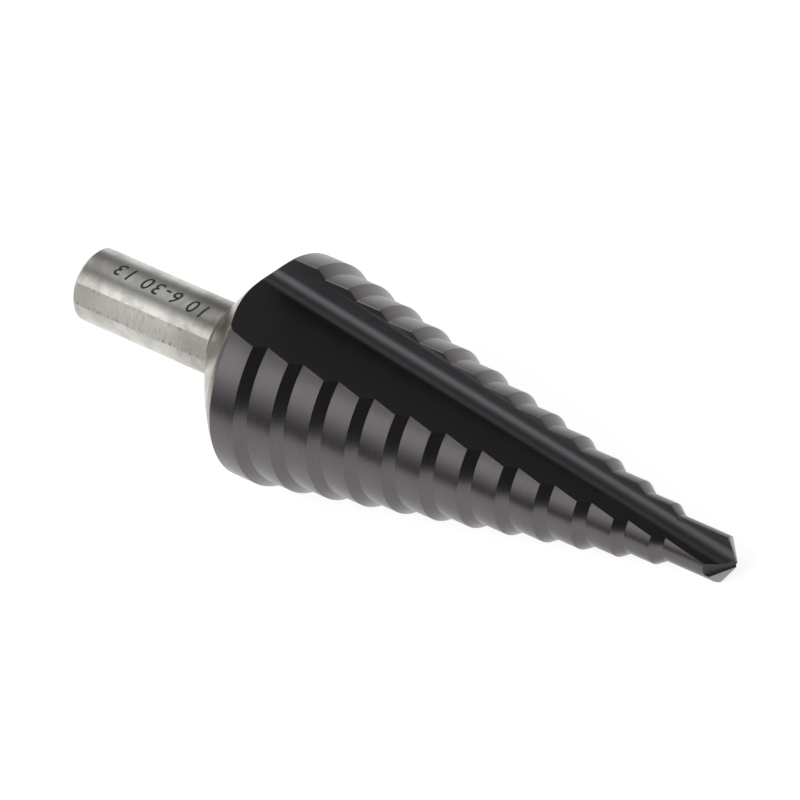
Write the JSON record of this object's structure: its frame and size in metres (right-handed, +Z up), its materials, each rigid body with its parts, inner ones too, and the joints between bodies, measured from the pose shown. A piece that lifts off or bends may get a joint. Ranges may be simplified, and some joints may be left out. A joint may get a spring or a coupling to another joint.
{
  "type": "step drill",
  "caption": "Straight-fluted step drill for sheet metal: a stepped cone of ground cutting diameters with a split point, on a round shank with driving flats.",
  "frame": {"origin": "centre of the bounding box, on the surface that the drill lies on", "axes": "+X along the lying drill, from the shank to the point; +Z up; the tool's own axis dips 9 degrees towards the point"},
  "size_m": [0.0988, 0.0298, 0.0268],
  "materials": {
    "step_drill": "ground high speed steel, with a dark violet-black coating on the stepped body and bare on the shank"
  },
  "bodies": {
    "root": {"step_drill": "step_drill"}
  },
  "joints": []
}
